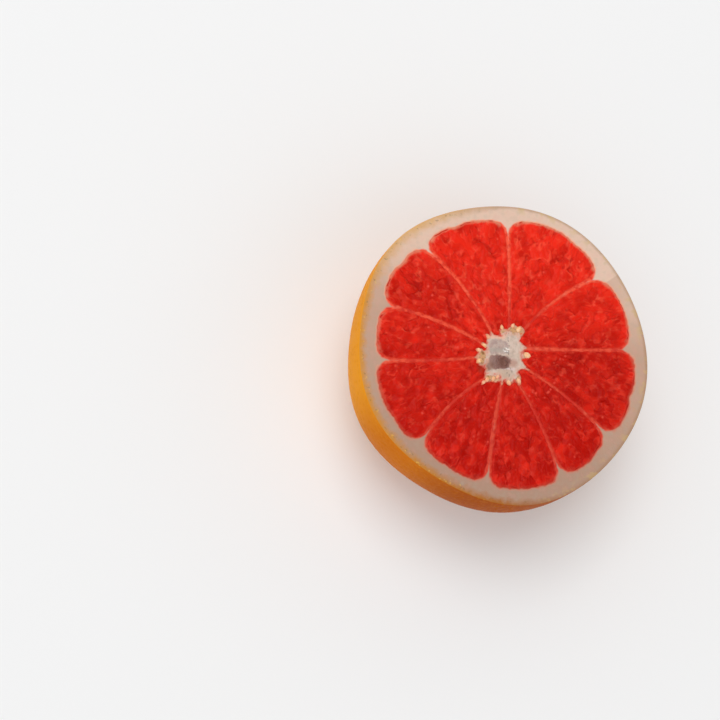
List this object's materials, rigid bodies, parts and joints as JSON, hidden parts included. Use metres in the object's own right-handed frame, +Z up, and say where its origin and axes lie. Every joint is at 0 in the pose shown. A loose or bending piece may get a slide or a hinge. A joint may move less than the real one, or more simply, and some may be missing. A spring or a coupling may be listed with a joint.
{
  "type": "grapefruit half",
  "caption": "Half of a red grapefruit cut across its segments, lying on its dome with the juicy cut face up; food to serve, scoop out or squeeze.",
  "frame": {"origin": "middle of the bottom of the box round the part, on the floor under the half", "axes": "+Z up out of the cut face; +Y towards the skin between two segments that is uppermost in the picture, +X to its right"},
  "size_m": [0.1038, 0.1044, 0.0475],
  "materials": {
    "rind": "waxy, finely pitted, satin",
    "pith": "matt, spongy, faintly pink",
    "flesh": "wet, glossy, slightly see-through juice sacs",
    "core": "matt, fibrous",
    "seed": "smooth, moist"
  },
  "bodies": {
    "root": {"grapefruit_half": "rind"}
  },
  "joints": []
}
